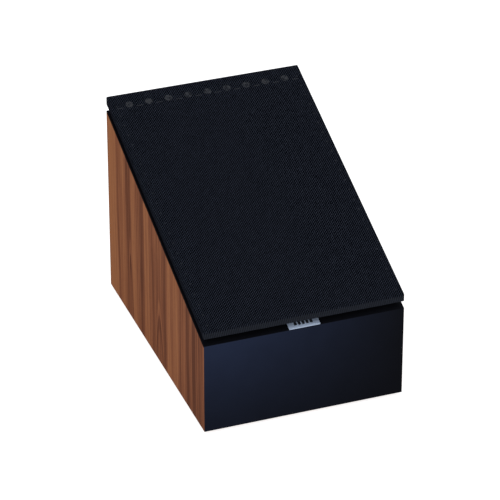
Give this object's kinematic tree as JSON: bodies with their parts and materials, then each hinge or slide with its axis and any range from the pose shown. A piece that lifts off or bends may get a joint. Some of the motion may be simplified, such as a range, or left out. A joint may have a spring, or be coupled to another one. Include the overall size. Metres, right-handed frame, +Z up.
{
  "type": "up-firing loudspeaker module",
  "caption": "Wedge-shaped add-on loudspeaker with a slanted baffle, coaxial driver, hovering lift-off cloth grille and recessed screw terminals.",
  "frame": {"origin": "on the ground under the middle of the cabinet, between the four feet", "axes": "+X to the right seen from the front, +Y to the back, +Z up; the front panel faces -Y and the baffle faces up and forward"},
  "size_m": [0.18, 0.257, 0.195],
  "materials": {
    "walnut_vinyl": "walnut-grain vinyl on fibreboard, satin",
    "black_vinyl": "satin black on fibreboard",
    "grille_cloth": "stretched black knit",
    "grille_plastic": "moulded, fine texture",
    "badge_metal": "brushed, plain",
    "black_rubber": "matte",
    "foot_rubber": "matte",
    "surround_rubber": "satin",
    "cone_paper": "coated, matte",
    "basket_steel": "black powder coat",
    "plated_steel": "zinc plated",
    "black_screw": "black oxide",
    "ferrite": "ground ferrite",
    "voice_coil_copper": "enamelled copper wire on a former",
    "spider_cloth": "resin-stiffened cotton",
    "dome_silk": "coated silk",
    "black_plastic": "fine spark texture",
    "red_plastic": "satin",
    "gold_plate": "gold plated",
    "circuit_board": "solder mask",
    "inductor_copper": "enamelled copper wire",
    "capacitor_film": "wrapped film",
    "white_ceramic": "cement body",
    "lead_black": "PVC jacket",
    "lead_red": "PVC jacket",
    "wadding": "polyester fibre"
  },
  "bodies": {
    "cabinet": {"acoustic_wadding": "wadding", "back_panel": "walnut_vinyl", "badge_plate": "badge_metal", "baffle": "black_vinyl", "bottom_panel": "walnut_vinyl", "crossover_board": "circuit_board", "cup_screw_1": "black_screw", "cup_screw_2": "black_screw", "driver_basket": "basket_steel", "driver_lead": "lead_red", "driver_screw_1": "black_screw", "driver_screw_2": "black_screw", "driver_screw_3": "black_screw", "driver_screw_4": "black_screw", "ferrite_magnet": "ferrite", "front_panel": "black_vinyl", "hanger_plate": "plated_steel", "hanger_screw_lower": "plated_steel", "hanger_screw_upper": "plated_steel", "input_lead": "lead_black", "left_side_panel": "walnut_vinyl", "magnet_yoke": "plated_steel", "minus_binding_post": "gold_plate", "peg_socket_front_left": "black_rubber", "peg_socket_front_right": "black_rubber", "peg_socket_rear_left": "black_rubber", "peg_socket_rear_right": "black_rubber", "plus_binding_post": "gold_plate", "right_side_panel": "walnut_vinyl", "rubber_foot_front_left": "foot_rubber", "rubber_foot_front_right": "foot_rubber", "rubber_foot_rear_left": "foot_rubber", "rubber_foot_rear_right": "foot_rubber", "spider": "spider_cloth", "terminal_cup": "black_plastic", "terminal_strip": "black_plastic", "top_plate": "plated_steel", "trim_ring": "black_rubber", "tweeter_capacitor": "capacitor_film", "tweeter_housing": "black_plastic", "tweeter_inductor": "inductor_copper", "tweeter_magnet": "plated_steel", "tweeter_resistor": "white_ceramic", "woofer_capacitor": "capacitor_film", "woofer_inductor": "inductor_copper", "woofer_surround": "surround_rubber"},
    "grille": {"grille_frame": "grille_plastic", "grille_cloth": "grille_cloth", "grille_peg_front_left": "grille_plastic", "grille_peg_front_right": "grille_plastic", "grille_peg_rear_left": "grille_plastic", "grille_peg_rear_right": "grille_plastic"},
    "cone_and_coil": {"woofer_cone": "cone_paper", "voice_coil": "voice_coil_copper"},
    "dome": {"tweeter_dome": "dome_silk"},
    "plus_washer": {"plus_clamp_washer": "gold_plate"},
    "plus_knob": {"plus_binding_knob": "red_plastic"},
    "minus_washer": {"minus_clamp_washer": "gold_plate"},
    "minus_knob": {"minus_binding_knob": "black_plastic"}
  },
  "joints": [
    {"name": "grille_lift", "type": "slide", "parent": "cabinet", "child": "grille", "axis": [0, -0.342, 0.9397], "range_m": [0, 0.04]},
    {"name": "cone_travel", "type": "slide", "parent": "cabinet", "child": "cone_and_coil", "axis": [0, -0.342, 0.9397], "range_m": [-0.003, 0.003], "stiffness_N_per_m": 1600, "deforming": ["woofer_surround", "spider"]},
    {"name": "dome_travel", "type": "slide", "parent": "cabinet", "child": "dome", "axis": [0, -0.342, 0.9397], "range_m": [-0.0003, 0.0003], "stiffness_N_per_m": 1000},
    {"name": "plus_knob_turn", "type": "hinge", "parent": "plus_washer", "child": "plus_knob", "pos_m": [-0.012, 0.1285, 0.06], "axis": [0, 1, 0], "range_deg": [0, 1450]},
    {"name": "plus_washer_slide", "type": "slide", "parent": "cabinet", "child": "plus_washer", "axis": [0, 1, 0], "range_m": [0, 0.0032]},
    {"name": "minus_knob_turn", "type": "hinge", "parent": "minus_washer", "child": "minus_knob", "pos_m": [0.012, 0.1285, 0.06], "axis": [0, 1, 0], "range_deg": [0, 1450]},
    {"name": "minus_washer_slide", "type": "slide", "parent": "cabinet", "child": "minus_washer", "axis": [0, 1, 0], "range_m": [0, 0.0032]}
  ],
  "couplings": [
    {"joint": "plus_knob_turn", "follows": "plus_washer_slide", "rad_per_m": 7854},
    {"joint": "minus_knob_turn", "follows": "minus_washer_slide", "rad_per_m": 7854}
  ]
}
